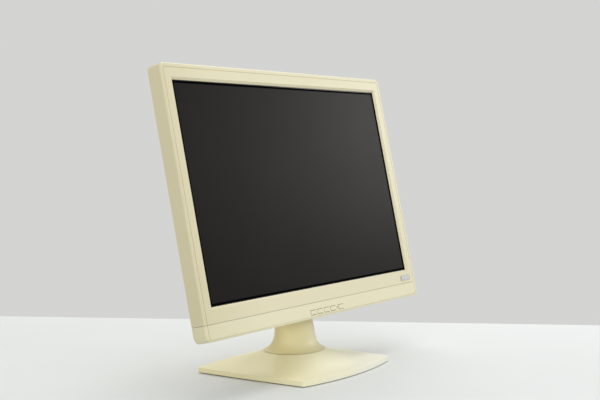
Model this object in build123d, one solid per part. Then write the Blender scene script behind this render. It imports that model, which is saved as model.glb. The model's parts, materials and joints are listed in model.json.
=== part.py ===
from build123d import *
import math
import os

# A flat-panel desk monitor: a 16:9 head on a short flared neck and a flat dished base.
# Millimetres, +Z up, +Y away from the user, the origin on the desk under the base's middle.

# ---- driving dimensions -------------------------------------------------------------
SCREEN_W = 410.0            # opening in the bezel, an 18.5 inch 16:9 panel
SCREEN_H = SCREEN_W * 9 / 16
TILT = 13.2                 # how far the head leans back when at rest, degrees
SCREEN_FOOT = (-25.5, 94.3)  # Y and Z of the middle of the opening's lower edge

BEZEL_SIDE = 17.8
BEZEL_TOP = 17.0
CHIN = 33.5
SEAM_DROP = 16.4            # the chin seam below the opening
FACE = -2.2                 # the face stands this far in front of the opening's inner edge
BAND_BACK = 14.0            # rear edge of the bezel's side band
WALL = 2.2
GAP = 0.3
CORNER_R = 8.0

HEAD_W = SCREEN_W + 2 * BEZEL_SIDE
HEAD_LOW = -CHIN
HEAD_HIGH = SCREEN_H + BEZEL_TOP

SHELL_BACK = 16.5           # rear of the flat rim of the rear cover
BULGE_BACK = 56.0           # rear of its bulge
BULGE_FOOT = (410.0, -27.0, 235.0)   # width, lowest and highest at the rim
BULGE_CREST = (300.0, -20.0, 190.0)  # the same at the rear
HINGE = (45.0, 0.0)         # depth and height of the tilt axis in the head

BASE_FRONT = (93.0, -64.3, 11.3)     # half width, Y of the corners, bow of the edge
BASE_BACK = (97.5, 71.5, 5.0)
BASE_CORNER_R = 3.0
BASE_EDGE = 6.2             # top of the base's edge
BASE_WALL = 1.8
CLEAR_OF_DESK = 1.0

SEAM_OVAL = (41.5, 32.0)    # half axes of the neck's foot
SEAM_Z = 20.0
SEAM_GAP = 0.4              # open seam between the base and the neck's covers
NECK_Y = 7.5
SHAFT_R = 4.0               # hinge shafts

BUTTON = (10.2, 4.7)
BUTTON_Z = -26.9
BUTTON_X = {"menu": -26.5, "minus": -12.5, "plus": 1.5, "source": 15.5, "power": 32.5}
LED_X = 24.5
BUTTON_GAP = 0.45

VESA = 100.0
VESA_Z = 115.0


# ---- helpers ------------------------------------------------------------------------
def block(x0, x1, y0, y1, z0, z1):
    """A box between two corners."""
    size = (x1 - x0, y1 - y0, z1 - z0)
    middle = ((x0 + x1) / 2, (y0 + y1) / 2, (z0 + z1) / 2)
    return Pos(*middle) * Box(*size)


def facing_back(x, y, z):
    """A plane at this point whose normal is +Y."""
    return Plane(origin=(x, y, z), x_dir=(1, 0, 0), z_dir=(0, 1, 0))


def slab(width, low, high, y0, y1, radius):
    """A rounded rectangle standing up, from y0 back to y1."""
    outline = facing_back(0, y0, (low + high) / 2) * RectangleRounded(width, high - low, radius)
    return extrude(outline, amount=y1 - y0)


def rod(radius, start, end):
    """A round bar between two points."""
    axis = Vector(*end) - Vector(*start)
    return Part() + Solid.make_cylinder(radius, axis.length, Plane(origin=start, z_dir=axis))


def hexagon(radius, start, end):
    """A hexagonal bar between two points."""
    axis = Vector(*end) - Vector(*start)
    return extrude(Plane(origin=start, z_dir=axis) * RegularPolygon(radius, 6), amount=axis.length)


def place_head(shape):
    """Moves a shape from the head's own frame, X across, Y deep, Z up the face."""
    return Pos(0, *SCREEN_FOOT) * Rot(-TILT, 0, 0) * shape


def save(name, *shapes):
    solids = [solid for shape in shapes for solid in shape.solids()]
    shape = solids[0] if len(solids) == 1 else Compound(solids)
    export_step(shape, f"parts/{name}.step")


def save_head(name, *shapes):
    save(name, *[place_head(shape) for shape in shapes])


# ---- base ---------------------------------------------------------------------------
def base_outline(inset=0.0):
    """The base seen from above: straight sides and bowed front and back edges."""
    front_x, front_y, front_bulge = BASE_FRONT
    back_x, back_y, back_bulge = BASE_BACK
    front_x, front_y = front_x - inset, front_y + inset
    back_x, back_y = back_x - inset, back_y - inset
    side_x = (front_x + back_x) / 2 + 1.0
    side_y = (front_y + back_y) / 2
    edges = [
        ThreePointArc((-front_x, front_y), (0, front_y - front_bulge), (front_x, front_y)),
        ThreePointArc((front_x, front_y), (side_x, side_y), (back_x, back_y)),
        ThreePointArc((back_x, back_y), (0, back_y + back_bulge), (-back_x, back_y)),
        ThreePointArc((-back_x, back_y), (-side_x, side_y), (-front_x, front_y)),
    ]
    face = Sketch() + make_face(Wire(edges))
    return fillet(face.vertices(), BASE_CORNER_R)


def base_height(x, y):
    """Height of the dished top: level near the edge, rising to the foot of the neck."""
    ring = math.hypot(x / SEAM_OVAL[0], (y - NECK_Y) / SEAM_OVAL[1])
    ring = max(ring, 0.7)
    outer_ring = 2.2
    climb = max(outer_ring - ring, 0.0) / (outer_ring - 1.0)
    return BASE_EDGE + (SEAM_Z - BASE_EDGE) * climb ** 1.7


def under_base_top(drop=0.0):
    """Everything under the dished top, lowered by drop."""
    half_x, half_y = 112.0, 98.0
    columns, rows = 37, 33
    grid = []
    for i in range(columns):
        x = half_x * (2 * i / (columns - 1) - 1)
        ys = [half_y * (2 * j / (rows - 1) - 1) for j in range(rows)]
        grid.append([Vector(x, y, base_height(x, y) - drop) for y in ys])
    top = Face.make_surface_from_array_of_points(grid, tol=0.05)
    return Part() + extrude(top, amount=40, dir=(0, 0, -1))


def boss_places():
    return [(-72, -56), (72, -56), (-76, 58), (76, 58), (0, -66), (0, 66)]


def base_cover():
    """The dished shell with its screw bosses and the hole under the neck."""
    outer = extrude(base_outline(), amount=SEAM_Z) & under_base_top()
    inner = extrude(base_outline(BASE_WALL), amount=SEAM_Z - BASE_WALL) & under_base_top(BASE_WALL)
    for x, y in boss_places():
        inner -= Pos(x, y, 2.4 + 20) * Cylinder(3.4, 40)
    shell = outer - inner - block(-120, 120, -120, 120, -1, CLEAR_OF_DESK)
    for x, y in boss_places():
        shell -= block(x - 4, x + 4, y - 4, y + 4, 0, 2.4)
        shell -= Pos(x, y, 3.6) * Cylinder(1.4, 3.2)
    rim = 2.6
    hole = Ellipse(SEAM_OVAL[0] - rim, SEAM_OVAL[1] - rim)
    return shell - extrude(Pos(0, NECK_Y, 3) * hole, amount=30)


def base_tray():
    """The sheet that closes the base from below."""
    tray = extrude(Pos(0, 0, 1.2) * base_outline(BASE_WALL + 0.4), amount=1.0)
    for x, y in boss_places():
        tray -= Pos(x, y, 1.7) * Cylinder(1.5, 3)
    return tray


def base_screws():
    return [rod(3.0, (x, y, 0.5), (x, y, 1.2)) + rod(1.3, (x, y, 1.2), (x, y, 4.8))
            for x, y in boss_places()]


def rubber_feet():
    return [Pos(x, y, 0.6) * Cylinder(7.0, 1.2)
            for x, y in [(-80, -42), (80, -42), (-82, 46), (82, 46)]]


COLUMN_BOLTS = [(-22, -6), (22, -6), (-22, 21), (22, 21)]
FOOT_Z = 7.8                # top of the weight plate, where the column stands


def base_weight():
    """The steel plate in the base, thicker under the neck."""
    plate = extrude(Pos(0, 0, 2.3) * base_outline(12.0), amount=1.8)
    plate += extrude(Pos(0, NECK_Y, 4.1) * Ellipse(55.0, 41.0), amount=FOOT_Z - 4.1)
    for x, y in boss_places():
        plate -= Pos(x, y, 4) * Cylinder(3.9, 12)
    for x, y in COLUMN_BOLTS:
        plate -= Pos(x, y, 5) * Cylinder(2.1, 12)
    return plate


# ---- neck ---------------------------------------------------------------------------
def hinge_place():
    """World Y and Z of the tilt axis."""
    lean = math.radians(TILT)
    depth, height = HINGE
    y = SCREEN_FOOT[0] + depth * math.cos(lean) + height * math.sin(lean)
    z = SCREEN_FOOT[1] - depth * math.sin(lean) + height * math.cos(lean)
    return y, z


def neck_sections():
    """Height, middle, half width and half depth of the neck, foot to top."""
    hinge_y, hinge_z = hinge_place()
    return [
        (SEAM_Z + SEAM_GAP, NECK_Y, *SEAM_OVAL),
        (25.0, 8.2, 36.3, 24.0),
        (32.0, 7.8, 33.8, 19.4),
        (40.0, 7.7, 33.1, 17.0),
        (50.0, 9.2, 32.6, 15.2),
        (64.0, 12.8, 32.0, 15.0),
        (hinge_z, hinge_y, 31.6, 15.0),
    ]


def neck_solid(inset):
    """The neck's flared stem with its round top, grown inwards by inset."""
    hinge_y, hinge_z = hinge_place()
    faces = [Pos(0, y, z) * Ellipse(a - inset, b - inset) for z, y, a, b in neck_sections()]
    stem = loft(faces)
    half = 30.0 - inset
    top = rod(15.0 - inset, (-half, hinge_y, hinge_z), (half, hinge_y, hinge_z))
    return stem + top


def neck_shell():
    """The hollow stem, bored through for the hinge shafts."""
    hinge_y, hinge_z = hinge_place()
    shell = neck_solid(0) - neck_solid(WALL)
    shell -= rod(SHAFT_R + 0.6, (-60, hinge_y, hinge_z), (60, hinge_y, hinge_z))
    return shell


SCREW_Z = 52.0              # the screw that holds the neck's rear cover


def neck_covers():
    """The neck's shell parted along a plane near its back."""
    behind = 9.5
    up = (Vector(0, *hinge_place()) - Vector(0, NECK_Y, SEAM_Z)).normalized()
    rearward = up.cross(Vector(1, 0, 0))
    parting = Plane(origin=(0, NECK_Y + behind, SEAM_Z), x_dir=(1, 0, 0), z_dir=rearward)
    shell = neck_shell()
    rear = split(shell, bisect_by=parting, keep=Keep.TOP)
    front = split(shell, bisect_by=parting.offset(-0.15), keep=Keep.BOTTOM)
    rear -= rod(1.7, (0, 0, SCREW_Z), (0, 60, SCREW_Z))
    rear -= rod(3.0, (0, 23.4, SCREW_Z), (0, 60, SCREW_Z))
    return front, rear


def neck_screw():
    head = rod(2.8, (0, 23.5, SCREW_Z), (0, 25.2, SCREW_Z))
    return head + rod(1.5, (0, 15.2, SCREW_Z), (0, 23.5, SCREW_Z))


def neck_column():
    """The steel post inside the neck, with a foot plate and two ears for the shafts."""
    hinge_y, hinge_z = hinge_place()
    post = block(-22, 22, 3, 15, FOOT_Z, 56) - block(-20, 20, 5, 13, FOOT_Z + 3, 60)
    foot = block(-30, 30, -13, 28, FOOT_Z, FOOT_Z + 3)
    column = post + foot
    for side in (-1, 1):
        inner, outer = sorted((side * 20.0, side * 22.0))
        plate = block(inner, outer, 8, 18, 50, hinge_z)
        column += plate + rod(9.0, (inner, hinge_y, hinge_z), (outer, hinge_y, hinge_z))
    column -= rod(SHAFT_R, (-40, hinge_y, hinge_z), (40, hinge_y, hinge_z))
    for x, y in COLUMN_BOLTS:
        column -= Pos(x, y, FOOT_Z) * Cylinder(2.1, 12)
    return column


def column_bolts():
    top = FOOT_Z + 3
    return [hexagon(3.5, (x, y, top), (x, y, top + 2.8)) + rod(2.0, (x, y, 2.4), (x, y, top))
            for x, y in COLUMN_BOLTS]


# ---- tilt hinge ---------------------------------------------------------------------
BRACKET_X = (44.0, 47.0)    # inner and outer face of each bracket's arm


def hinge_shafts():
    """Two shafts held by the column's ears, with a collar inside each ear."""
    y, z = hinge_place()
    shafts = []
    for side in (-1, 1):
        shaft = rod(SHAFT_R, (side * 16, y, z), (side * 55, y, z))
        shaft += rod(6.5, (side * 15, y, z), (side * 20, y, z))
        shafts.append(shaft)
    return shafts


def on_both_shafts(make, radius, near, thick):
    """A disc or nut on each shaft, starting this far out from the middle."""
    y, z = hinge_place()
    shapes = []
    for side in (-1, 1):
        shape = make(radius, (side * near, y, z), (side * (near + thick), y, z))
        shapes.append(shape - rod(SHAFT_R, (0, y, z), (side * 90, y, z)))
    return shapes


def hinge_washers():
    return on_both_shafts(rod, 8.0, BRACKET_X[1] + 0.15, 2.2)


def hinge_nuts():
    return on_both_shafts(hexagon, 7.0, BRACKET_X[1] + 2.4, 4.6)


def hinge_brackets():
    """Plates on the head that turn on the shafts, flanged onto the support plate."""
    depth, height = HINGE
    plates = []
    for side in (-1, 1):
        inner, outer = sorted((side * BRACKET_X[0], side * BRACKET_X[1]))
        side_plane = Plane(origin=(inner, 0, 0), x_dir=(0, 1, 0), z_dir=(1, 0, 0))
        outline = Polygon((18, -12), (depth, -10), (depth + 7, 7), (30, 24), (18, 24), align=None)
        arm = extrude(side_plane * outline, amount=outer - inner)
        arm += rod(8.5, (inner, depth, height), (outer, depth, height))
        low_x, high_x = sorted((side * BRACKET_X[0], side * 56.0))
        arm += block(low_x, high_x, 18.0, 20.0, -12, 60)
        arm -= rod(SHAFT_R + 0.05, (-90, depth, height), (90, depth, height))
        for z in (5, 45):
            arm -= rod(1.7, (side * 52, 10, z), (side * 52, 25, z))
        plates.append(arm)
    return plates


# ---- head casing --------------------------------------------------------------------
def casing_front():
    """The whole front moulding before it is parted: side band, face, window and fine groove."""
    outer = slab(HEAD_W, HEAD_LOW, HEAD_HIGH, FACE, BAND_BACK, CORNER_R)
    front_rim = outer.faces().sort_by(Axis.Y)[0].edges()
    outer = fillet(front_rim, 1.6)
    inner = slab(HEAD_W - 2 * WALL, HEAD_LOW + WALL, HEAD_HIGH - WALL, 0, BAND_BACK + 1, CORNER_R - WALL)
    flare = 2.5             # the window's edge slopes in by this much
    window = loft([
        facing_back(0, FACE, SCREEN_H / 2) * Rectangle(SCREEN_W + 2 * flare, SCREEN_H + 2 * flare),
        facing_back(0, 0, SCREEN_H / 2) * Rectangle(SCREEN_W, SCREEN_H),
    ])
    groove_in, groove_w, groove_deep = 4.2, 0.7, 0.6
    groove = slab(HEAD_W - 2 * groove_in, HEAD_LOW + groove_in * 0.4, HEAD_HIGH - groove_in,
                  FACE, FACE + groove_deep, 3.4)
    core_in = groove_in + groove_w
    groove -= slab(HEAD_W - 2 * core_in, HEAD_LOW + groove_in * 0.4 + groove_w, HEAD_HIGH - core_in,
                   FACE, FACE + groove_deep, 2.8)
    return outer - inner - window - groove


def front_bezel(front):
    return front - block(-300, 300, -20, 60, -200, -SEAM_DROP + 0.15)


def chin_cover(front):
    chin = front - block(-300, 300, -20, 60, -SEAM_DROP - 0.15, 500)
    for x in BUTTON_X.values():
        half_w = BUTTON[0] / 2 + BUTTON_GAP
        half_h = BUTTON[1] / 2 + BUTTON_GAP
        chin -= block(x - half_w, x + half_w, -5, 5, BUTTON_Z - half_h, BUTTON_Z + half_h)
    return chin - rod(0.95, (LED_X, -5, BUTTON_Z), (LED_X, 5, BUTTON_Z))


NECK_POCKET = (-37.0, 37.0, 17.5, 18.0)       # X range, front and ceiling
SIGNAL_RECESS = (-152.0, -62.0, 26.0, 22.0)
POWER_RECESS = (62.0, 152.0, 26.0, 22.0)
COVER_SCREWS = [(-138, 42), (138, 42), (-138, 172), (138, 172)]


def recess(place, grow=0.0):
    """The room of a recess that is open below and behind, grown by its wall."""
    x0, x1, front, ceiling = place
    return block(x0 - grow, x1 + grow, front - grow, 80, -60, ceiling + grow)


def bulge(inset):
    """The tapered middle of the rear cover."""
    foot_w, foot_low, foot_high = BULGE_FOOT
    crest_w, crest_low, crest_high = BULGE_CREST
    shapes = []
    for y, width, low, high, radius in (
            (SHELL_BACK - 4, foot_w, foot_low, foot_high, 24),
            (BULGE_BACK - inset, crest_w, crest_low, crest_high, 16)):
        outline = RectangleRounded(width - 2 * inset, high - low - 2 * inset, radius - inset)
        shapes.append(facing_back(0, y, (low + high) / 2) * outline)
    return loft(shapes)


def rim_slab(inset, y0, y1):
    """The rear cover's rim, which slips inside the side band."""
    edge = WALL + GAP + inset
    return slab(HEAD_W - 2 * edge, HEAD_LOW + edge, HEAD_HIGH - edge, y0, y1, CORNER_R - WALL - inset)


def vent_slots():
    """Slots through the top slope and through both side slopes of the bulge."""
    slots = []
    for i in range(-19, 20):
        if i:
            slots.append(block(i * 6 - 1.3, i * 6 + 1.3, 30, 47, 196, 240))
    for side in (-1, 1):
        for i in range(12):
            z = 70 + i * 7
            slots.append(block(*sorted((side * 150, side * 230)), 30, 47, z, z + 2.6))
    return slots


def rear_cover():
    """The rear shell: a flat rim, a tapered bulge, recesses, vents, wells and bosses."""
    outer = rim_slab(0, 10.0, SHELL_BACK)
    rear_rim = outer.faces().sort_by(Axis.Y)[-1].edges()
    outer = fillet(rear_rim, 3.0) + fillet(bulge(0).faces().sort_by(Axis.Y)[-1].edges(), 7.0)
    room = rim_slab(WALL, 9.0, SHELL_BACK - WALL) + bulge(WALL)
    for place in (NECK_POCKET, SIGNAL_RECESS, POWER_RECESS):
        room -= recess(place, WALL)
    for x, z in COVER_SCREWS:
        room -= rod(6.2, (x, 20, z), (x, 60, z))
    for x, z in vesa_places():
        room -= rod(7.0, (x, 45, z), (x, 60, z))
    shell = outer - room
    for place in (NECK_POCKET, SIGNAL_RECESS, POWER_RECESS):
        shell -= recess(place)
    for slot in vent_slots():
        shell -= slot
    for x, z in COVER_SCREWS:
        shell -= rod(4.2, (x, 23, z), (x, 80, z))
        shell -= rod(1.7, (x, 10, z), (x, 30, z))
    for x, z in vesa_places():
        shell -= rod(4.0, (x, 40, z), (x, 80, z))
    depth, height = HINGE
    shell -= rod(6.0, (-42, depth, height), (42, depth, height))
    for cut in socket_cutouts():
        shell -= cut
    lock_x, lock_z = 49.0, -8.0
    return shell - block(lock_x - 3.5, lock_x + 3.5, 50, 60, lock_z - 1.5, lock_z + 1.5)


def vesa_places():
    half = VESA / 2
    return [(sx * half, VESA_Z + sz * half) for sx in (-1, 1) for sz in (-1, 1)]


def vesa_inserts():
    return [rod(4.0, (x, 45, z), (x, BULGE_BACK, z)) - rod(2.0, (x, 40, z), (x, 60, z))
            for x, z in vesa_places()]


def cover_screws():
    return [rod(3.4, (x, 23, z), (x, 25.6, z)) + rod(1.5, (x, 14, z), (x, 23, z))
            - block(x - 2.2, x + 2.2, 24.8, 26, z - 0.4, z + 0.4) for x, z in COVER_SCREWS]


def badge():
    """A blank plate at the right end of the bezel's lower bar."""
    width, low, high = 23.5, -12.6, -6.4
    x = SCREEN_W / 2 + 4.0 - width / 2
    return Pos(x, 0, 0) * slab(width, low, high, FACE - 0.7, FACE, 1.2)


# ---- display panel ------------------------------------------------------------------
def panel_slab(grow, y0, y1, radius=1.0):
    """A plate as large as the screen, grown by this much on every side."""
    return slab(SCREEN_W + 2 * grow, -grow, SCREEN_H + grow, y0, y1, radius)


def panel_front_frame():
    frame = panel_slab(8.5, 0.3, 9.0, 2.0) - panel_slab(7.7, 0.8, 10.0)
    return frame - panel_slab(1.6, -1.0, 3.0, 0.5)


def panel_back_tray():
    tray = panel_slab(7.4, 3.0, 11.0, 1.5) - panel_slab(6.6, 2.0, 10.2)
    for x in (-120, 120):
        tray -= block(x - 6, x + 6, 9, 12, 90, 96)
    return tray


def backlight_lamps():
    """A tube with two end caps above the light guide and one below it."""
    lamps = []
    for z in (-3.6, SCREEN_H + 3.6):
        tube = rod(1.4, (-198, 6.6, z), (198, 6.6, z))
        for end in (-1, 1):
            tube += rod(2.2, (end * 196, 6.6, z), (end * 203, 6.6, z))
        lamps.append(tube)
    return lamps


# ---- electronics --------------------------------------------------------------------
def board(x0, x1, y, z0, z1):
    return block(x0, x1, y, y + 1.6, z0, z1)


def timing_board():
    pcb = board(-95, 95, 11.4, 26, 50)
    for x, half in ((-60, 4), (-20, 7), (25, 5), (62, 6)):
        pcb += block(x - half, x + half, 13.0, 14.4, 38 - half, 38 + half)
    return pcb


def main_board():
    """The video board with its chips, capacitors and panel connector."""
    pcb = board(-128, -14, 24.0, 27, 150)
    chips = ((-66, 100, 12, 2.2), (-98, 122, 7, 1.6), (-40, 128, 8, 1.4), (-36, 84, 5, 1.6))
    for x, z, half, tall in chips:
        pcb += block(x - half, x + half, 25.6, 25.6 + tall, z - half, z + half)
    for x, z in ((-108, 80), (-96, 80), (-84, 66), (-30, 60)):
        pcb += rod(4.0, (x, 25.6, z), (x, 36, z))
    return pcb + block(-60, -36, 25.6, 30.0, 140, 147)


def power_board():
    """The supply board: transformers, heat sinks and capacitors."""
    pcb = board(14, 128, 24.0, 56, 170)
    pcb += block(80, 110, 25.6, 40.0, 92, 120)
    pcb += block(76, 114, 25.6, 42.0, 128, 131)
    capacitors = ((36, 84, 9, 17), (58, 84, 5, 13), (30, 112, 5, 12), (44, 112, 5, 12), (58, 112, 5, 12))
    for x, z, radius, tall in capacitors:
        pcb += rod(radius, (x, 25.6, z), (x, 25.6 + tall, z))
    for x in (30, 62):
        pcb += block(x - 11, x + 11, 25.6, 36, 140, 158)
    return pcb + block(84, 124, 25.6, 42.0, 58, 66)


def board_shield():
    """A steel can over both boards, open below, with rows of air holes."""
    shell = block(-131, 131, 20.2, 43.4, 46, 182)
    room = block(-130.2, 130.2, 19, 42.6, 40, 181.2)
    holes = [rod(1.6, (x, 40, z), (x, 46, z))
             for x in range(-110, 111, 10) for z in range(160, 176, 5)]
    shield = shell - room
    for hole in holes:
        shield -= hole
    return shield


def support_plate():
    """The steel plate that carries the panel, the boards and the hinge brackets."""
    plate = block(-172, 172, 16.6, 17.8, 24, 222)
    for side in (-1, 1):
        plate += block(*sorted((side * 40, side * 57)), 16.6, 17.8, -14, 24)
        for z in (5, 45):
            plate -= rod(1.6, (side * 52, 10, z), (side * 52, 25, z))
    for x, z in COVER_SCREWS:
        plate -= rod(1.6, (x, 10, z), (x, 25, z))
    for z in (80, 150):
        plate -= block(-9, 9, 10, 20, z, z + 14)
    return plate


def bracket_screws():
    screws = []
    for x in (-52, 52):
        for z in (5, 45):
            screws.append(rod(3.0, (x, 20, z), (x, 22.2, z)) + rod(1.5, (x, 15, z), (x, 20, z)))
    return screws


def panel_ribbon():
    """The flat lead from the main board through the support plate to the timing board."""
    lead = block(-8, 8, 14.6, 14.9, 44, 90)
    lead += block(-8, 8, 14.6, 22.3, 89.7, 90)
    lead += block(-8, 8, 22.0, 22.3, 90, 152)
    return lead


# ---- sockets ------------------------------------------------------------------------
INLET = (107.0, 40.5)       # X and depth of each socket's middle
VGA = (-86.0, 34.0)
DVI = (-126.0, 34.0)
CEILING = SIGNAL_RECESS[3]


def socket_cutouts():
    """The openings in the recess ceilings that the sockets look through."""
    cuts = []
    for (x, y), half_x, half_y in ((INLET, 14.2, 10.2), (VGA, 9.4, 5.4), (DVI, 13.4, 5.4)):
        cuts.append(block(x - half_x, x + half_x, y - half_y, y + half_y, CEILING - 1, CEILING + 6))
    return cuts


def rising(x, y, z, sketch, amount):
    """Extrudes a level sketch upwards from this height."""
    return extrude(Pos(x, y, z) * sketch, amount=amount)


def ac_inlet():
    """The mains inlet's moulding, its mouth facing down."""
    x, y = INLET
    body = rising(x, y, CEILING - 2, RectangleRounded(34, 24, 3), 2)
    body += rising(x, y, CEILING, RectangleRounded(28, 20, 2), 20)
    body -= rising(x, y, CEILING - 2, RectangleRounded(24.6, 16.6, 2), 17)
    for pin in inlet_pins():
        body -= pin
    return body


def inlet_pins():
    """Three flat pins, each with a neck and a tab that comes out above the inlet."""
    pins = []
    for dx, dy in ((-7, -2), (7, -2), (0, 2)):
        x, y = INLET[0] + dx, INLET[1] + dy
        pin = block(x - 2, x + 2, y - 1, y + 1, CEILING + 3, CEILING + 15)
        pin += block(x - 1, x + 1, y - 0.4, y + 0.4, CEILING + 15, CEILING + 20)
        pins.append(pin + block(x - 2, x + 2, y - 0.4, y + 0.4, CEILING + 20, CEILING + 23.5))
    return pins


def data_socket(place, flange_w, shell_w, rows, columns, pitch):
    """A shielded socket: flange, shell and a face full of contact holes."""
    x, y = place
    body = rising(x, y, CEILING - 1, RectangleRounded(flange_w, 12.4, 1), 1)
    body += rising(x, y, CEILING - 6, RectangleRounded(shell_w, 8.4, 2.4), 14)
    body += block(x - shell_w / 2, x + shell_w / 2, 25.7, 38.5, CEILING + 2.4, CEILING + 12)
    for row in range(rows):
        for column in range(columns):
            hole_x = x + (column - (columns - 1) / 2 + (row % 2) * 0.25) * pitch
            hole_y = y + (row - (rows - 1) / 2) * 2.1
            body -= Pos(hole_x, hole_y, CEILING - 4) * Cylinder(0.55, 6)
    return body


def jack_posts():
    """The hexagonal posts beside each data socket."""
    posts = []
    for (middle, y), half in ((VGA, 12.5), (DVI, 16.5)):
        for x in (middle - half, middle + half):
            posts.append(hexagon(2.6, (x, y, CEILING - 6), (x, y, CEILING - 1)))
    return posts


# ---- buttons ------------------------------------------------------------------------
def button(x):
    """A key cap with side ledges behind the chin and a stem for its switch."""
    half_w, half_h = BUTTON[0] / 2, BUTTON[1] / 2
    cap = block(x - half_w, x + half_w, FACE - 0.4, 1.6, BUTTON_Z - half_h, BUTTON_Z + half_h)
    cap = fillet(cap.faces().sort_by(Axis.Y)[0].edges(), 0.4)
    cap += block(x - half_w - 0.8, x + half_w + 0.8, 0.3, 1.6, BUTTON_Z - half_h, BUTTON_Z + half_h)
    return cap + rod(1.3, (x, 1.6, BUTTON_Z), (x, 3.4, BUTTON_Z))


def key_board():
    return board(-42, 48, 8.4, -31, -18.5)


def tact_switches():
    switches = []
    for x in BUTTON_X.values():
        body = block(x - 3, x + 3, 4.9, 8.4, BUTTON_Z - 3, BUTTON_Z + 3)
        switches.append(body + rod(1.6, (x, 4.4, BUTTON_Z), (x, 4.9, BUTTON_Z)))
    return switches


def power_led():
    """The clear light pipe and the lamp behind it."""
    pipe = rod(0.85, (LED_X, FACE + 0.2, BUTTON_Z), (LED_X, 5.0, BUTTON_Z))
    return pipe + rod(1.5, (LED_X, 5.0, BUTTON_Z), (LED_X, 8.4, BUTTON_Z))


# ---- all the sub-parts --------------------------------------------------------------
def build_stand():
    save("base_cover", base_cover())
    save("base_tray", base_tray())
    save("base_screws", *base_screws())
    save("rubber_feet", *rubber_feet())
    save("base_weight", base_weight())
    front, rear = neck_covers()
    save("neck_front_cover", front)
    save("neck_rear_cover", rear)
    save("neck_screw", neck_screw())
    save("neck_column", neck_column())
    save("column_bolts", *column_bolts())
    save("hinge_shafts", *hinge_shafts())
    save("hinge_washers", *hinge_washers())
    save("hinge_nuts", *hinge_nuts())


def build_head():
    front = casing_front()
    save_head("front_bezel", front_bezel(front))
    save_head("chin_cover", chin_cover(front))
    save_head("rear_cover", rear_cover())
    save_head("cover_screws", *cover_screws())
    save_head("vesa_inserts", *vesa_inserts())
    save_head("badge", badge())
    save_head("hinge_brackets", *hinge_brackets())
    save_head("bracket_screws", *bracket_screws())
    save_head("support_plate", support_plate())
    save_head("polariser_film", panel_slab(-0.8, 0.5, 0.8, 0.3))
    save_head("lcd_glass", panel_slab(5.0, 0.85, 2.5, 0.5))
    save_head("panel_front_frame", panel_front_frame())
    save_head("diffuser_sheets", panel_slab(5.0, 2.7, 3.6, 0.5))
    save_head("light_guide", panel_slab(1.2, 3.8, 9.8, 0.5))
    save_head("backlight_lamps", *backlight_lamps())
    save_head("panel_back_tray", panel_back_tray())
    save_head("timing_board", timing_board())
    save_head("main_board", main_board())
    save_head("power_board", power_board())
    save_head("board_shield", board_shield())
    save_head("panel_ribbon", panel_ribbon())
    save_head("ac_inlet", ac_inlet())
    save_head("inlet_pins", *inlet_pins())
    save_head("vga_socket", data_socket(VGA, 31.0, 17.0, 3, 5, 2.3))
    save_head("dvi_socket", data_socket(DVI, 39.0, 25.0, 3, 8, 1.9))
    save_head("jack_posts", *jack_posts())
    save_head("key_board", key_board())
    save_head("tact_switches", *tact_switches())
    save_head("power_led", power_led())
    for name, x in BUTTON_X.items():
        save_head(f"{name}_button", button(x))


os.makedirs("parts", exist_ok=True)
build_stand()
build_head()
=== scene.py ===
import bpy
import bmesh
import json
import math
from mathutils import Matrix, Vector


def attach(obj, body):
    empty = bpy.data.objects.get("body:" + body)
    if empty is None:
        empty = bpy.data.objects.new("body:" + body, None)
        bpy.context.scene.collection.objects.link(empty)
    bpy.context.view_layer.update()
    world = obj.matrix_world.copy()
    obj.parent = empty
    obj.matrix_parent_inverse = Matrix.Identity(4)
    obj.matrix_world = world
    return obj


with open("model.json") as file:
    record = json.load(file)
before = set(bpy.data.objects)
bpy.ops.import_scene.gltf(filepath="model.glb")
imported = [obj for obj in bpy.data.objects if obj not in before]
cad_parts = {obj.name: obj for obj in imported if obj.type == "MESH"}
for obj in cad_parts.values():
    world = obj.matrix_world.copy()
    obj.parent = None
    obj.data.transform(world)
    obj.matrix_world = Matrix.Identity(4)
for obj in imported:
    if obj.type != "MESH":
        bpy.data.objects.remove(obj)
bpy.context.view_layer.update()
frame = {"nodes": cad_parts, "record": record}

# An ivory desk monitor on a pale table. The CAD nodes carry the shape. This script gives them
# procedural finishes, rounds their edges, adds labels, and sets the camera and the soft light.

MM = 0.001
TILT = math.radians(13.2)                        # lean of the head at rest
SCREEN_W = 410 * MM
SCREEN_H = SCREEN_W * 9 / 16
SCREEN_FOOT = Vector((0, -25.5, 94.3)) * MM      # middle of the opening's lower edge
HEAD_UP = Vector((0, math.sin(TILT), math.cos(TILT)))
HEAD_BACK = Vector((0, math.cos(TILT), -math.sin(TILT)))
ACROSS = Vector((1, 0, 0))

FACE = -2.2 * MM                                 # depth of the face
BULGE_BACK = 56 * MM                             # depth of the rear cover's flat back
KEY_ROW = -26.9 * MM                             # height of the keys' middle
KEYS_FROM, KEYS_TO = -36 * MM, 42 * MM
BORDER = 3.2 * MM                                # width of the panel's black border
BADGE_X, BADGE_UP = 197.25 * MM, -9.5 * MM


# ---- camera, light and floor --------------------------------------------------------
CAMERA_AIM = Vector((0.0, 0.0037, 0.2162))
CAMERA_DISTANCE = 1.380
CAMERA_HEADING = math.radians(57.45)             # turned from +Y towards +X
CAMERA_PITCH = math.radians(2.36)                # looking down
CAMERA_ROLL = math.radians(0.87)
CAMERA_LENS = 72.95
CAMERA_SHIFT = -0.0379

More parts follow.
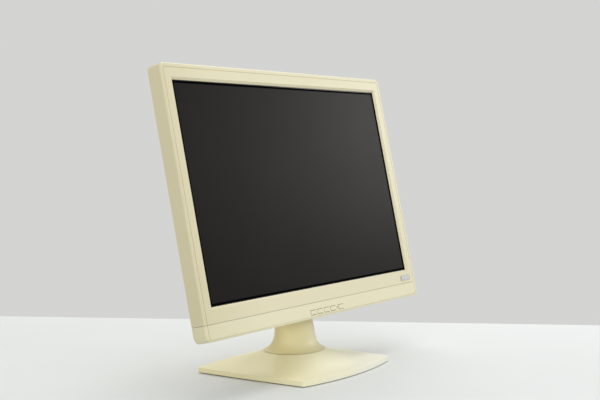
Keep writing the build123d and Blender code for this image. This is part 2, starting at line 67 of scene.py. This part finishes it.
WORLD_COLOR = (0.655, 0.66, 0.645)
SOFTBOXES = {                                    # place, size and power
    "key_softbox": ((1.3, 0.5, 2.1), 2.2, 27),
    "top_softbox": ((-0.3, -0.3, 2.4), 2.2, 11),
    "left_fill": ((-1.9, -1.1, 0.35), 1.0, 4.5),
    "front_fill": ((-0.9, -2.0, 0.5), 1.4, 8),
    "right_fill": ((2.3, -0.9, 0.8), 0.8, 6),
}
LIGHT_AIM = Vector((0, 0, 0.15))
FLOOR_BEHIND, FLOOR_FRONT, FLOOR_HALF = 0.33, 3.0, 4.0


def put_in_scene(name, data):
    thing = bpy.data.objects.new(name, data)
    bpy.context.scene.collection.objects.link(thing)
    return thing


def add_camera():
    heading, pitch, roll = CAMERA_HEADING, CAMERA_PITCH, CAMERA_ROLL
    flat = Vector((math.sin(heading), math.cos(heading), 0))
    forward = flat * math.cos(pitch) - Vector((0, 0, math.sin(pitch)))
    level = Vector((math.cos(heading), -math.sin(heading), 0))
    plumb = level.cross(forward)
    right = level * math.cos(roll) + plumb * math.sin(roll)
    up = plumb * math.cos(roll) - level * math.sin(roll)
    data = bpy.data.cameras.new("camera")
    data.lens = CAMERA_LENS
    data.shift_y = CAMERA_SHIFT
    data.clip_end = 50
    camera = put_in_scene("camera", data)
    turn = Matrix((right, up, -forward)).transposed()
    camera.matrix_world = Matrix.Translation(CAMERA_AIM - forward * CAMERA_DISTANCE) @ turn.to_4x4()
    bpy.context.scene.camera = camera


def add_softboxes():
    for name, (place, size, power) in SOFTBOXES.items():
        data = bpy.data.lights.new(name, "AREA")
        data.shape = "DISK"
        data.size = size
        data.energy = power
        light = put_in_scene(name, data)
        light.location = place
        light.rotation_euler = (LIGHT_AIM - Vector(place)).to_track_quat("-Z", "Y").to_euler()


def add_world():
    world = bpy.data.worlds.new("studio")
    world.use_nodes = True
    background = world.node_tree.nodes["Background"]
    background.inputs["Color"].default_value = (*WORLD_COLOR, 1)
    bpy.context.scene.world = world


def add_floor():
    """A pale table top whose back edge runs across the camera's view behind the object."""
    ahead = Vector((math.sin(CAMERA_HEADING), math.cos(CAMERA_HEADING), 0))
    aside = Vector((math.cos(CAMERA_HEADING), -math.sin(CAMERA_HEADING), 0))
    ends = ((-FLOOR_HALF, -FLOOR_FRONT), (FLOOR_HALF, -FLOOR_FRONT),
            (FLOOR_HALF, FLOOR_BEHIND), (-FLOOR_HALF, FLOOR_BEHIND))
    mesh = bpy.data.meshes.new("floor")
    mesh.from_pydata([tuple(ahead * y + aside * x) for x, y in ends], [], [(0, 3, 2, 1)])
    floor = put_in_scene("floor", mesh)
    paint = Finish("floor_paint")
    paint.base_color(paint.ramp(paint.noise(3.0, 3.0), (0.685, 0.70, 0.70), (0.71, 0.725, 0.725)))
    paint.set(Roughness=0.6)
    mesh.materials.append(paint.material)


# ---- the node helper ----------------------------------------------------------------
class Finish:
    """Wires a procedural material round a Principled shader."""

    def __init__(self, name):
        self.material = bpy.data.materials.new(name)
        self.material.use_nodes = True
        self.nodes = self.material.node_tree.nodes
        self.links = self.material.node_tree.links
        self.shader = self.nodes["Principled BSDF"]
        self.place = self.nodes.new("ShaderNodeTexCoord").outputs["Object"]

    def set(self, **values):
        for name, value in values.items():
            self.shader.inputs[name.replace("_", " ")].default_value = value

    def feed(self, socket, value):
        """Links an output to a socket, or sets the socket to a plain number."""
        if isinstance(value, (int, float)):
            socket.default_value = value
        else:
            self.links.new(value, socket)

    def math(self, operation, first, second=0.0):
        node = self.nodes.new("ShaderNodeMath")
        node.operation = operation
        self.feed(node.inputs[0], first)
        self.feed(node.inputs[1], second)
        return node.outputs["Value"]

    def spread(self, value, low, high, to_low=0.0, to_high=1.0):
        """Maps a range of values onto another and stops at its ends."""
        node = self.nodes.new("ShaderNodeMapRange")
        for socket, number in zip(node.inputs[1:5], (low, high, to_low, to_high)):
            socket.default_value = number
        self.feed(node.inputs["Value"], value)
        return node.outputs["Result"]

    def noise(self, scale, detail=2.0, stretch=None):
        node = self.nodes.new("ShaderNodeTexNoise")
        node.inputs["Scale"].default_value = scale
        node.inputs["Detail"].default_value = detail
        source = self.place
        if stretch:
            mapping = self.nodes.new("ShaderNodeMapping")
            mapping.inputs["Scale"].default_value = stretch
            self.links.new(self.place, mapping.inputs["Vector"])
            source = mapping.outputs["Vector"]
        self.links.new(source, node.inputs["Vector"])
        return node.outputs["Fac"]

    def ramp(self, value, low, high, start=0.3, end=0.7):
        node = self.nodes.new("ShaderNodeValToRGB")
        first, last = node.color_ramp.elements
        first.position, last.position = start, end
        first.color = (*low, 1)
        last.color = (*high, 1)
        self.links.new(value, node.inputs["Fac"])
        return node.outputs["Color"]

    def blend(self, mask, below, above):
        """Lays a plain colour over another colour where the mask is one."""
        node = self.nodes.new("ShaderNodeMix")
        node.data_type = "RGBA"
        self.links.new(mask, node.inputs[0])
        self.links.new(below, node.inputs[6])
        node.inputs[7].default_value = (*above, 1)
        return node.outputs[2]

    def base_color(self, color):
        self.links.new(color, self.shader.inputs["Base Color"])

    def roughness(self, low, high, scale, stretch=None):
        value = self.spread(self.noise(scale, 3.0, stretch), 0.0, 1.0, low, high)
        self.links.new(value, self.shader.inputs["Roughness"])

    def grain(self, scale, strength, depth, detail=1.0):
        node = self.nodes.new("ShaderNodeBump")
        node.inputs["Strength"].default_value = strength
        node.inputs["Distance"].default_value = depth
        self.links.new(self.noise(scale, detail), node.inputs["Height"])
        self.links.new(node.outputs["Normal"], self.shader.inputs["Normal"])

    def along(self, direction, origin=Vector()):
        """The distance along a direction from an origin, in metres."""
        node = self.nodes.new("ShaderNodeVectorMath")
        node.operation = "DOT_PRODUCT"
        node.inputs[1].default_value = direction
        self.links.new(self.place, node.inputs[0])
        return self.math("SUBTRACT", node.outputs["Value"], direction.dot(origin))

    def between(self, value, low, high):
        """One where the value lies between two limits, and zero elsewhere."""
        above = self.math("GREATER_THAN", value, low)
        return self.math("MULTIPLY", above, self.math("LESS_THAN", value, high))


# ---- finishes -----------------------------------------------------------------------
# Dark brown for the walls inside the key gaps: painted shade, with a grime tint.
GAP_SHADE_AND_GRIME = (0.05, 0.032, 0.012)
BLACK_BORDER = (0.002, 0.002, 0.002)


def plastic(name, low, high, rough=(0.38, 0.5), grain_scale=2600.0, grain_depth=0.00005):
    """Satin moulding whose colour drifts a little, with a fine even grain."""
    finish = Finish(name)
    finish.base_color(finish.ramp(finish.noise(9.0, 3.0), low, high))
    finish.roughness(*rough, 45.0)
    finish.grain(grain_scale, 0.25, grain_depth)
    finish.set(IOR=1.49)
    return finish.material


def ivory_with_painted_light(name, yellow, pale, direction, start, end, gap_shade_and_grime_mask=None):
    """Ivory moulding whose colour turns paler along a direction, as painted light and shade, with painted
    gap shade and grime where a mask says so.
    """
    finish = Finish(name)
    drift = finish.math("MULTIPLY", finish.noise(14.0), 0.03)
    # The ramp along the direction paints light and shade: the yellow end is the shaded side, the pale end
    # the lit side.
    place = finish.math("ADD", finish.along(Vector(direction)), drift)
    color = finish.ramp(finish.spread(place, start, end), yellow, pale, 0.0, 1.0)
    # The mask lays the painted gap shade and grime over the colour.
    if gap_shade_and_grime_mask:
        color = finish.blend(gap_shade_and_grime_mask(finish), color, GAP_SHADE_AND_GRIME)
    finish.base_color(color)
    finish.roughness(0.36, 0.46, 45.0)
    finish.grain(2600.0, 0.2, 0.00004)
    finish.set(IOR=1.49)
    return finish.material


def behind_face(finish):
    """The surfaces just behind the face, inside the gaps round the keys, which take painted shade and
    grime.
    """
    return finish.between(finish.along(HEAD_BACK, SCREEN_FOOT), FACE + 0.15 * MM, 1.5 * MM)


def round_the_keys(finish):
    """The same surfaces on the chin, only along the row of keys, which take painted shade and grime."""
    inside = finish.between(finish.along(ACROSS), KEYS_FROM, KEYS_TO)
    up = finish.between(finish.along(HEAD_UP, SCREEN_FOOT), KEY_ROW - 3 * MM, KEY_ROW + 3 * MM)
    return finish.math("MULTIPLY", behind_face(finish), finish.math("MULTIPLY", inside, up))


def metal(name, low, high, rough=(0.28, 0.45)):
    """Drawn or rolled metal with faint streaks along its length."""
    finish = Finish(name)
    finish.base_color(finish.ramp(finish.noise(30.0, 3.0, (1, 14, 14)), low, high))
    finish.roughness(*rough, 120.0, (1, 20, 20))
    finish.set(Metallic=1.0)
    return finish.material


def circuit_board():
    finish = Finish("circuit_board")
    tracks = finish.noise(700.0, 1.0, (1, 0.2, 0.3))
    finish.base_color(finish.ramp(tracks, (0.012, 0.075, 0.03), (0.02, 0.13, 0.05)))
    finish.roughness(0.3, 0.5, 90.0)
    return finish.material


def screen_film():
    """The dim screen, with the panel's black border just inside the opening."""
    finish = Finish("screen_film")
    side = finish.math("SUBTRACT", SCREEN_W / 2, finish.math("ABSOLUTE", finish.along(ACROSS)))
    up = finish.along(HEAD_UP, SCREEN_FOOT)
    nearest = finish.math("MINIMUM", up, finish.math("SUBTRACT", SCREEN_H, up))
    inset = finish.math("MINIMUM", side, nearest)
    border = finish.spread(inset, BORDER - 0.4 * MM, BORDER + 0.4 * MM, 1.0, 0.0)
    picture = finish.ramp(finish.noise(5.0), (0.0085, 0.0072, 0.0062), (0.0115, 0.0098, 0.0088))
    finish.base_color(finish.blend(border, picture, BLACK_BORDER))
    gloss = finish.spread(border, 0.0, 1.0, 0.045, 0.0)
    finish.links.new(gloss, finish.shader.inputs["Specular IOR Level"])
    finish.roughness(0.29, 0.35, 12.0)
    finish.grain(5200.0, 0.12, 0.00002, 0.0)
    return finish.material


def dark_glass():
    finish = Finish("screen_glass")
    finish.base_color(finish.ramp(finish.noise(60.0, 3.0), (0.004, 0.004, 0.004), (0.007, 0.007, 0.007)))
    finish.roughness(0.1, 0.2, 40.0)
    return finish.material


def clear_moulding(name, color, rough):
    finish = Finish(name)
    finish.base_color(finish.ramp(finish.noise(50.0, 3.0), color, [c * 0.94 for c in color]))
    finish.roughness(rough, rough + 0.08, 80.0)
    finish.set(Transmission_Weight=0.6, IOR=1.49)
    return finish.material


def slot_finishes():
    """One finish for each material slot of the record."""
    return {
        # The casing turns darker towards its left and a little towards its bottom, and the chin towards its
        # left: painted shade.
        "ivory_casing": ivory_with_painted_light("ivory_casing", (0.62, 0.56, 0.355), (0.74, 0.685, 0.475),
                                   (1.0, 0.0, 0.15), -0.23, -0.08),
        "ivory_chin": ivory_with_painted_light("ivory_key", (0.68, 0.63, 0.415), (0.765, 0.72, 0.51),
                                 (1.0, 0.0, 0.0), -0.23, -0.1, behind_face),
        "ivory_back": plastic("ivory_back", (0.62, 0.56, 0.36), (0.67, 0.61, 0.41),
                              (0.45, 0.6), 900.0, 0.00012),
        "ivory_stand": plastic("ivory_stand", (0.73, 0.665, 0.41), (0.76, 0.70, 0.46)),
        "grey_plastic": plastic("grey_plastic", (0.09, 0.09, 0.095), (0.12, 0.12, 0.125)),
        "black_plastic": plastic("black_plastic", (0.012, 0.012, 0.012), (0.02, 0.02, 0.02)),
        "foot_rubber": plastic("foot_rubber", (0.02, 0.02, 0.02), (0.032, 0.032, 0.03), (0.75, 0.9)),
        "sheet_steel": metal("sheet_steel", (0.52, 0.53, 0.54), (0.62, 0.63, 0.64)),
        "screw_steel": metal("screw_steel", (0.42, 0.42, 0.42), (0.56, 0.56, 0.57)),
        "contact_brass": metal("contact_brass", (0.62, 0.45, 0.18), (0.75, 0.56, 0.26)),
        "circuit_board": circuit_board(),
        "screen_film": screen_film(),
        "screen_glass": dark_glass(),
        "diffuser": plastic("diffuser", (0.83, 0.83, 0.81), (0.87, 0.87, 0.86)),
        "clear_acrylic": clear_moulding("clear_acrylic", (0.88, 0.92, 0.92), 0.08),
        "lamp_glass": clear_moulding("lamp_glass", (0.92, 0.92, 0.88), 0.25),
        "badge_metal": metal("badge_metal", (0.50, 0.50, 0.47), (0.60, 0.60, 0.57), (0.35, 0.5)),
        "lead_film": plastic("lead_film", (0.55, 0.50, 0.36), (0.6, 0.55, 0.4)),
    }


def node_finishes():
    """Finishes for single nodes that differ from their slot's."""
    # The neck turns yellower and a little darker towards its left and back: painted shade.
    neck = ivory_with_painted_light("neck_ivory", (0.79, 0.70, 0.38), (0.78, 0.735, 0.51), (0.8, -0.6, 0.0), -0.01, 0.045)
    return {
        # The base turns paler towards its front right: painted light.
        "base_cover": ivory_with_painted_light("base_ivory", (0.87, 0.80, 0.50), (0.87, 0.86, 0.73),
                                 (0.55, -0.84, 0.0), -0.02, 0.1),
        # The chin cover turns darker towards its left, which paints shade, and takes painted shade and
        # grime in the gaps round the keys.
        "chin_cover": ivory_with_painted_light("ivory_chin", (0.68, 0.63, 0.415), (0.765, 0.72, 0.51),
                                 (1.0, 0.0, 0.0), -0.23, -0.1, round_the_keys),
        "neck_front_cover": neck,
        "neck_rear_cover": neck,
        "power_led": plastic("lamp_lens", (0.03, 0.035, 0.02), (0.05, 0.055, 0.03), (0.15, 0.25)),
    }


def paint_nodes():
    by_slot = slot_finishes()
    by_node = node_finishes()
    for part in frame["record"]["subparts"]:
        finish = by_node.get(part["node"], by_slot[part["material_slot"]])
        for slot in frame["nodes"][part["node"]].material_slots:
            slot.material = finish


# ---- edges and labels ---------------------------------------------------------------
EDGE_RADII = {
    "base_cover": 0.7 * MM,
    "front_bezel": 0.25 * MM,
    "chin_cover": 0.25 * MM,
    "badge": 0.25 * MM,
}


def round_edges():
    """A small moulded radius on the sharp edges of the outer mouldings."""
    for name, radius in EDGE_RADII.items():
        bevel = frame["nodes"][name].modifiers.new("edge_radius", "BEVEL")
        bevel.width = radius
        bevel.segments = 2
        bevel.limit_method = "ANGLE"
        bevel.angle_limit = math.radians(50)
        bevel.harden_normals = True


def on_head(x, depth, up):
    """A point in the head's own frame: across, behind the opening's edge, up the face."""
    return SCREEN_FOOT + ACROSS * x + HEAD_BACK * depth + HEAD_UP * up


def rounded_outline(width, height, radius, steps=6):
    points = []
    for corner, (side_x, side_y) in enumerate(((1, 1), (-1, 1), (-1, -1), (1, -1))):
        for step in range(steps + 1):
            angle = math.radians(90 * (corner + step / steps))
            points.append((side_x * (width / 2 - radius) + radius * math.cos(angle),
                           side_y * (height / 2 - radius) + radius * math.sin(angle)))
    return points


def add_plate(name, centre, facing, size, radius, finish):
    """A thin plate with round corners and a softened rim, lying on the head."""
    thickness = 0.2 * MM
    rim = thickness * 0.4
    mesh = bmesh.new()
    rings = []
    for inset, height in ((0, 0), (0, thickness - rim), (rim, thickness)):
        outline = rounded_outline(size[0] - 2 * inset, size[1] - 2 * inset, radius - inset)
        rings.append([mesh.verts.new((x, y, height)) for x, y in outline])
    for low, high in zip(rings, rings[1:]):
        for i, here in enumerate(low):
            j = (i + 1) % len(low)
            mesh.faces.new((here, low[j], high[j], high[i]))
    mesh.faces.new(rings[-1])
    mesh.faces.new(list(reversed(rings[0])))
    data = bpy.data.meshes.new(name)
    mesh.to_mesh(data)
    mesh.free()
    data.materials.append(finish)
    plate = put_in_scene(name, data)
    turn = Matrix((HEAD_UP.cross(facing), HEAD_UP, facing)).transposed()
    plate.matrix_world = Matrix.Translation(centre) @ turn.to_4x4()
    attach(plate, "head")


def add_plates():
    """Two blank labels on the back and the blank face of the badge."""
    paper = plastic("label_paper", (0.80, 0.80, 0.77), (0.84, 0.84, 0.82), (0.5, 0.6))
    silver = metal("badge_face", (0.56, 0.57, 0.56), (0.64, 0.65, 0.64), (0.4, 0.5))
    plates = (
        ("rating_label", on_head(0, BULGE_BACK, 72 * MM), HEAD_BACK, (74 * MM, 34 * MM), 2 * MM, paper),
        ("serial_label", on_head(-100 * MM, BULGE_BACK, 66 * MM), HEAD_BACK, (46 * MM, 12 * MM),
         1 * MM, paper),
        ("badge_face", on_head(BADGE_X, FACE - 0.7 * MM, BADGE_UP), -HEAD_BACK, (20.5 * MM, 3.8 * MM),
         0.8 * MM, silver),
    )
    for plate in plates:
        add_plate(*plate)


# ---- build --------------------------------------------------------------------------
bpy.context.scene.view_settings.view_transform = "Standard"
add_camera()
add_world()
add_floor()
add_softboxes()
paint_nodes()
round_edges()
add_plates()
